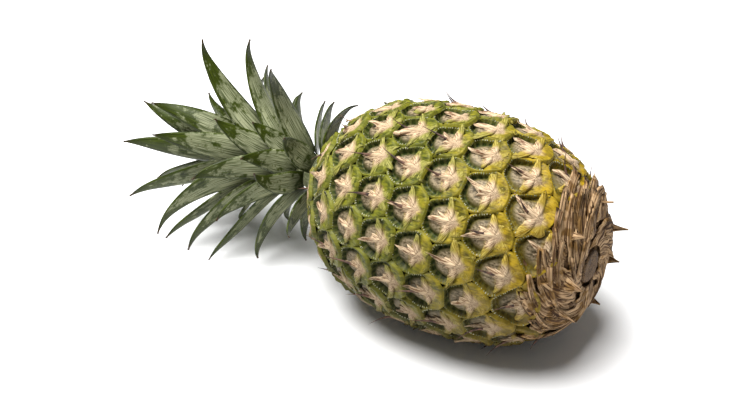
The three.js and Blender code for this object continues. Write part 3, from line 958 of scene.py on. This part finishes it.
def lathe(bm, outline, steps):
    """Turns an outline of (x, radius) about the fruit's axis."""
    ring = [bm.verts.new(around_axis(x, radius, 0)) for x, radius in outline]
    edges = [bm.edges.new(pair) for pair in zip(ring, ring[1:])]
    bmesh.ops.spin(
        bm,
        geom=ring + edges,
        cent=(0, 0, 0),
        axis=(1, 0, 0),
        angle=math.tau,
        steps=steps,
        use_merge=True,
    )
    weld(bm, bm.verts)
    bmesh.ops.recalc_face_normals(bm, faces=bm.faces)


def make_husk():
    """The folded dry sheet over the butt, under its scales."""
    bm = bmesh.new()
    width = HUSK_EDGE - HUSK_BORE
    radii = [HUSK_BORE + width * k / HUSK_RINGS for k in range(HUSK_RINGS + 1)]
    outline = []
    for radius in radii:
        spot = husk_spot(radius, 0, -0.9 - 1.8 * smooth(radius, 34, HUSK_EDGE))
        outline.append((spot.x, radius))
    outline.insert(0, (outline[0][0] - 2.0, radii[0]))
    for beyond in HUSK_SKIRT:
        radius = HUSK_EDGE + beyond
        spot = lifted(around_axis(butt_x(radius), radius, 0), HUSK_SKIRT_HEIGHT)
        outline.append((spot.x, -spot.y))
    lathe(bm, outline, HUSK_STEPS)
    for vert in bm.verts:
        radius = math.hypot(vert.co.y, vert.co.z)
        angle = math.atan2(vert.co.z, vert.co.y) + radius * 0.03
        fold = noise.noise(Vector((math.cos(angle) * 9, math.sin(angle) * 9, radius * 0.08)))
        crack = noise.noise(Vector((math.cos(angle) * 26, math.sin(angle) * 26, radius * 0.1)))
        lump = noise.noise(vert.co * 0.12)
        calm = 1 - 0.85 * smooth(radius, HUSK_EDGE - 1, HUSK_EDGE)
        edge = noise.noise(Vector((math.cos(angle) * 2.6, math.sin(angle) * 2.6, 5.0)))
        vert.co.x -= calm * 3.5 * max(edge, 0.0) * smooth(radius, 27, 36)
        vert.co.x += calm * (0.9 * fold + 0.5 * crack + 1.6 * lump)
    finish_piece("dry_husk", bm, husk_finish(), replaces=("base_husk",))


def make_husk_scales():
    """The dry scales and spikes that stand on the husk."""
    bm = bmesh.new()
    bm.verts.layers.float_vector.new("scale_place")
    for ring, (count, radius, length, half_width, rise) in enumerate(HUSK_FLAKES):
        for k in range(count):
            add_flake(bm, ring, k, count, radius, length, half_width, rise)
    for spike in HUSK_SPIKES:
        add_spike(bm, *spike)
    for vert in bm.verts:
        keep_off_floor(vert.co, 0.5)
    bmesh.ops.recalc_face_normals(bm, faces=bm.faces)
    piece = finish_piece("husk_scales", bm, scale_finish())
    thicken(piece, SCALE_THICKNESS)


def add_flake(bm, ring, k, count, radius, length, half_width, rise):
    """A dry scale that lies outward and round the butt, with a curled and ragged tip."""
    place_layer = bm.verts.layers.float_vector["scale_place"]
    seed = ring * 60 + k
    angle = 360 * (k + 0.8 * chance(seed)) / count
    reach = length * (0.75 + 0.6 * chance(seed + 0.4))
    curl = 2.6 * (chance(seed + 0.8) - 0.35)
    twist = HUSK_SWIRL * (0.4 + chance(seed + 0.6))
    for vert in grid_of(bm, 10, 12):
        along = (vert.co.y + 1) / 2
        across = vert.co.x
        tatter = 1 + 0.5 * noise.noise(Vector((seed * 5.3, along * 5, math.copysign(1, across))))
        side = across * (half_width * (1 - along**2.4) * tatter + 0.25)
        notch = 1 + 0.3 * noise.noise(Vector((seed * 2.9, across * 3.2, 4)))
        out = -SCALE_ROOT + (reach + SCALE_ROOT) * along * notch
        fold = noise.noise(Vector((seed * 3.7, along * 1.5, across * 2.6)))
        height = rise + curl * along**3 + 0.5 * (1 - across**2) - 1.2 * (1 - along) ** 2
        height += 0.9 * fold
        turn = math.degrees(side / (radius + out)) + twist * along**1.5
        vert.co = husk_spot(radius + out, angle + turn, height)
        vert[place_layer] = (across * half_width, along * reach, seed)


def add_spike(bm, angle, radius, length, half_width):
    """A dry bract that stands out from the butt's rim."""
    place_layer = bm.verts.layers.float_vector["scale_place"]
    for vert in grid_of(bm, 4, 8):
        along = (vert.co.y + 1) / 2
        across = vert.co.x
        side = across * (half_width * (1 - along) ** 1.25 + 0.25)
        foot = husk_spot(radius, angle + math.degrees(side / radius), -0.6)
        outward = Vector((0, foot.y, foot.z)).normalized()
        lean = 2.0 * along + 0.9 * (1 - across**2)
        vert.co = foot + outward * lean + Vector((1, 0, 0)) * length * 0.95 * along
        vert[place_layer] = (across * half_width, along * length, angle)


def scale_finish():
    finish = Finish("dry_husk_scale")
    place = finish.attribute("scale_place").outputs["Vector"]
    across, along, seed = finish.split(place)
    fine = finish.speckle(1.0, 4)
    coarse = finish.speckle(7, 3)
    spots = finish.join(across, finish.times(along, 0.16), seed)
    strand = finish.noise_at(spots, 0.9, 5.0)
    colour = finish.blend(finish.rise(strand, 0.36, 0.62), paint(84, 54, 28), paint(222, 184, 138))
    tan = finish.blend(finish.rise(strand, 0.4, 0.6), paint(76, 48, 20), paint(168, 128, 74))
    colour = finish.blend(finish.rise(coarse, 0.46, 0.6), colour, tan)
    colour = finish.blend(finish.rise(fine, 0.62, 0.76, 0.0, 0.8), colour, paint(48, 28, 14))
    finish.set(Base_Color=colour, Roughness=0.75, Specular_IOR_Level=0.15)
    finish.relief(finish.plus(finish.times(fine, 0.4), strand), 0.7, 0.5)
    return finish.material


def husk_finish():
    finish = Finish("dry_butt_husk")
    fine = finish.speckle(1.2, 4)
    coarse = finish.speckle(7, 4)
    strand = finish.speckle(4, 5, stretch=(0.25, 2.2, 2.2))
    colour = finish.blend(finish.rise(strand, 0.35, 0.65), paint(88, 62, 38), paint(172, 138, 98))
    colour = finish.blend(finish.rise(coarse, 0.5, 0.68), colour, paint(120, 90, 60))
    colour = finish.blend(finish.rise(fine, 0.6, 0.75), colour, paint(40, 26, 14))
    finish.set(Base_Color=colour, Roughness=0.85, Specular_IOR_Level=0.15)
    finish.relief(finish.plus(fine, strand), 0.8, 0.6)
    return finish.material


def make_stub():
    bm = bmesh.new()
    start = BUTT_FACE_X + CLEARANCE
    face = start + STUB_LENGTH - 0.2
    outline = [
        (start, 0),
        (start, STUB_RADIUS),
        (start + 1.4, STUB_RADIUS + 0.1),
        (start + STUB_LENGTH - STUB_BEVEL, STUB_RADIUS - 0.1),
        (face, STUB_RADIUS - STUB_BEVEL),
    ]
    for k in range(1, STUB_RINGS + 1):
        share = k / STUB_RINGS
        outline.append((face - 0.3 * share, 7.6 * (1 - share)))
    lathe(bm, outline, STUB_STEPS)
    for vert in bm.verts:
        if vert.co.x > start + 0.5:
            vert.co.x += 0.35 * noise.noise(vert.co * 0.8)
    finish_piece("cut_stalk", bm, stalk_finish(), replaces=("stem_stub",))


def stalk_finish():
    finish = Finish("cut_stalk_fibre")
    fine = finish.speckle(0.8, 3)
    coarse = finish.speckle(5, 3)
    colour = finish.blend(finish.rise(fine, 0.4, 0.6), paint(80, 56, 32), paint(140, 108, 70))
    colour = finish.blend(finish.rise(coarse, 0.5, 0.7), colour, paint(60, 40, 22))
    finish.set(Base_Color=colour, Roughness=0.85)
    finish.relief(fine, 0.6, 0.4)
    return finish.material


# ---- the crown ----


def stem_radius(share):
    return lerp(CROWN_STEM_RADIUS, CROWN_TIP_RADIUS, share)


class Leaf:
    """The plan of one leaf of the crown, counted from the lowest."""

    def __init__(self, k):
        self.station = k / (LEAF_COUNT - 1)
        self.sweep, size = LEANING_LEAVES[k]
        self.full_length = along_stages(LEAF_STAGES, self.station, 1)
        self.length = self.full_length * size
        self.angle = FIRST_LEAF_ANGLE + LEAF_DIVERGENCE * k
        self.widest = LEAF_WIDTH_START + LEAF_WIDTH_GROWTH * self.length
        self.rows = 48 if self.length > 40 else 36
        self.line = self.midline()

    def midline(self):
        root = math.radians(along_stages(LEAF_STAGES, self.station, 2))
        tip = math.radians(along_stages(LEAF_STAGES, self.station, 3))
        climb = (CROWN_STEM_LENGTH - 4) * self.station**LEAF_SPACING_POWER
        x = NECK_FACE_X - 1.4 - climb
        radius = stem_radius((NECK_FACE_X - x) / CROWN_STEM_LENGTH)
        radius += LEAF_THICKNESS / 2 + LEAF_ROOT_GAP
        line = [(x, radius)]
        step = self.length / self.rows
        for j in range(self.rows):
            run = step * (j + 0.5)
            bend = (run / self.full_length) ** LEAF_BEND_POWER
            hook = math.radians(LEAF_HOOK) * smooth(run / self.length, 0.8, 1.05)
            angle = lerp(root, tip, bend) + hook
            x -= math.cos(angle) * step
            radius += math.sin(angle) * step
            line.append((x, radius))
        return line

    def half_width(self, share):
        if share < LEAF_WIDEST_AT:
            swell = math.sin(math.radians(90 * share / LEAF_WIDEST_AT))
            return self.widest * lerp(LEAF_ROOT_WIDTH, 1, swell)
        taper = 1 - ((share - LEAF_WIDEST_AT) / (1 - LEAF_WIDEST_AT)) ** LEAF_TAPER_POWER
        return max(self.widest * taper, LEAF_TIP_HALF_WIDTH)

    def spot(self, row, side):
        """A point of the blade's middle surface, side from -1 to 1."""
        share = row / self.rows
        x, radius = self.line[row]
        half = min(self.half_width(share), radius * 0.7)
        channel = LEAF_CHANNEL * half * side * side * smooth(share * self.length, 6, 26)
        turn = math.degrees(side * half / radius) + self.sweep * share * share
        return above_floor(around_axis(x, radius - channel, self.angle + turn))


def above_floor(point):
    """Leaves bend along the surface that the fruit lies on."""
    height = point.z + AXIS_HEIGHT
    if height >= FLOOR_BEND_HEIGHT:
        return point
    room = FLOOR_BEND_HEIGHT - FLOOR_GAP
    sunk = room * math.tanh((FLOOR_BEND_HEIGHT - height) / room)
    point.z = FLOOR_BEND_HEIGHT - sunk - AXIS_HEIGHT
    return point


def make_leaf(k, material):
    leaf = Leaf(k)
    bm = bmesh.new()
    bm.loops.layers.uv.new("blade")
    age = bm.verts.layers.float.new("leaf_age")
    for vert in grid_of(bm, LEAF_STRIPS, leaf.rows, calc_uvs=True):
        row = round((vert.co.y + 1) / 2 * leaf.rows)
        vert.co = leaf.spot(row, vert.co.x)
        vert[age] = leaf.station
    bmesh.ops.recalc_face_normals(bm, faces=bm.faces)
    name = f"leaf_{k + 1:02d}"
    piece = finish_piece(f"blade_{k + 1:02d}", bm, material, replaces=(name,))
    thicken(piece, LEAF_THICKNESS)


def leaf_finish():
    finish = Finish("waxy_crown_leaf")
    place = finish.add("UVMap", uv_map="blade").outputs[0]
    across, along, _ = finish.split(place)
    age = finish.attribute("leaf_age").outputs["Fac"]
    spots = finish.add("Mapping", place, (0, 0, 0), (0, 0, 0), (14, 1.5, 1)).outputs[0]
    fine = finish.speckle(1.6, 3)
    wide = finish.times(across, 2.4)
    long = finish.times(along, 8.0)
    leaf_seed = finish.times(age, 90.0)
    coarse = finish.noise_at(finish.join(wide, long, leaf_seed), 1.0, 5.0, 0.6)
    lines = finish.noise_at(spots, 3.0, 4.0)
    bloom = finish.blend(finish.rise(lines, 0.36, 0.64), paint(82, 92, 52), paint(190, 194, 152))
    rubbed = finish.blend(finish.rise(lines, 0.35, 0.65), paint(30, 40, 2), paint(80, 94, 20))
    patch = finish.plus(coarse, finish.times(finish.minus(fine, 0.5), 0.3))
    streaks = finish.times(finish.minus(lines, 0.5), 0.35)
    patch = finish.plus(patch, streaks)
    middle = finish.calculate("ABSOLUTE", finish.minus(across, 0.5))
    edge = finish.rise(middle, 0.34, 0.5, 0.0, 0.2)
    tip = finish.rise(along, 0.4, 1.0, 0.0, 0.3)
    root = finish.rise(along, 0.25, 0.0, 0.0, 0.12)
    patch = finish.plus(patch, finish.plus(edge, finish.plus(tip, root)))
    colour = finish.blend(finish.rise(patch, 0.56, 0.68), bloom, rubbed)
    colour = finish.blend(finish.rise(along, 0.93, 1.0), colour, paint(74, 54, 32))
    # painted shade: each blade goes dark towards its root, deep inside the crown
    colour = finish.blend(finish.rise(along, 0.32, 0.0, 0.0, 0.75), colour, paint(30, 36, 8))
    finish.set(Base_Color=colour, Specular_IOR_Level=0.25)
    finish.set(Roughness=finish.rise(patch, 0.52, 0.66, 0.55, 0.36))
    finish.relief(finish.plus(lines, finish.times(fine, 0.3)), 0.4, 0.3)
    return finish.material


def make_crown():
    material = leaf_finish()
    for k in range(LEAF_COUNT):
        make_leaf(k, material)


def stem_finish():
    finish = Finish("young_crown_stem")
    fine = finish.speckle(1.5, 3)
    colour = finish.blend(finish.rise(fine, 0.4, 0.6), paint(120, 128, 84), paint(166, 170, 124))
    finish.set(Base_Color=colour, Roughness=0.65)
    finish.relief(fine, 0.4, 0.3)
    return finish.material


def dress_crown_stem():
    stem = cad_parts["crown_stem"]
    material = stem_finish()
    if not stem.material_slots:
        stem.data.materials.append(material)
    for place in stem.material_slots:
        place.material = material


# ---- the studio ----


def floor_finish():
    finish = Finish("pale_floor")
    patch = finish.speckle(400, 2)
    colour = finish.blend(patch, paint(246, 246, 246, 1.0), paint(252, 252, 252, 1.0))
    finish.set(Base_Color=colour, Roughness=0.9)
    return finish.material


def make_floor():
    bm = bmesh.new()
    bmesh.ops.create_grid(bm, x_segments=1, y_segments=1, size=FLOOR_HALF)
    mesh = bpy.data.meshes.new("floor")
    bm.to_mesh(mesh)
    bm.free()
    floor = bpy.data.objects.new("floor", mesh)
    bpy.context.collection.objects.link(floor)
    mesh.materials.append(floor_finish())


def soft_light(name, place, aim, size, power):
    lamp = bpy.data.lights.new(name, "AREA")
    lamp.shape = "DISK"
    lamp.size = size
    lamp.energy = power
    light = bpy.data.objects.new(name, lamp)
    light.location = place
    light.rotation_euler = (Vector(aim) - Vector(place)).to_track_quat("-Z", "Y").to_euler()
    bpy.context.collection.objects.link(light)


def make_world():
    world = bpy.data.worlds.new("studio")
    world.use_nodes = True
    ground = world.node_tree.nodes["Background"]
    ground.inputs["Color"].default_value = (1, 1, 1, 1)
    ground.inputs["Strength"].default_value = WORLD_STRENGTH
    bpy.context.scene.world = world


def make_camera():
    azimuth = math.radians(CAMERA_AZIMUTH)
    elevation = math.radians(CAMERA_ELEVATION)
    level = math.cos(elevation)
    back = Vector((math.sin(azimuth) * level, -math.cos(azimuth) * level, math.sin(elevation)))
    right = Vector((math.cos(azimuth), math.sin(azimuth), 0))
    up = back.cross(right)
    aim = -back + right * (SHIFT_RIGHT / FOCAL_LENGTH) + up * (SHIFT_UP / FOCAL_LENGTH)
    lens = bpy.data.cameras.new("camera")
    lens.sensor_width = SENSOR_WIDTH
    lens.lens = SENSOR_WIDTH * FOCAL_LENGTH / PICTURE_WIDTH
    camera = bpy.data.objects.new("camera", lens)
    camera.location = FRUIT_MIDDLE * 0.001 + back * CAMERA_DISTANCE
    camera.rotation_euler = aim.to_track_quat("-Z", "Y").to_euler()
    bpy.context.collection.objects.link(camera)
    bpy.context.scene.camera = camera


make_rind()
make_bracts()
make_teeth()
make_threads()
make_husk()
make_husk_scales()
make_stub()
make_crown()
dress_crown_stem()
make_floor()
soft_light("key", KEY_PLACE, KEY_AIM, KEY_SIZE, KEY_POWER)
make_world()
make_camera()
bpy.context.scene.view_settings.view_transform = "Standard"
